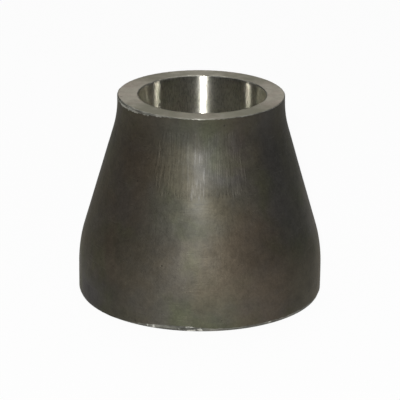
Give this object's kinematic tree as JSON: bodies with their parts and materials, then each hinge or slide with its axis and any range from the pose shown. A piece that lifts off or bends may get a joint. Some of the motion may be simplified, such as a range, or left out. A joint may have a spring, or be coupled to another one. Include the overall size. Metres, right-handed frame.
{
  "type": "butt weld reducer",
  "caption": "Forged concentric steel reducer that joins a large thick-walled pipe to a smaller one by butt welds, with a turned bore.",
  "frame": {"origin": "centre of the large end face, on the axis of the skin", "axes": "+Z along the pipe axis, from the large end up to the small end; the bore runs out towards +X"},
  "size_m": [0.1683, 0.1682, 0.14],
  "materials": {
    "forged_steel": "dark brown-grey forging scale with a dull sheen on the skin, bare turned steel in the bore and on the sawn end faces"
  },
  "bodies": {
    "root": {"reducer": "forged_steel"}
  },
  "joints": []
}
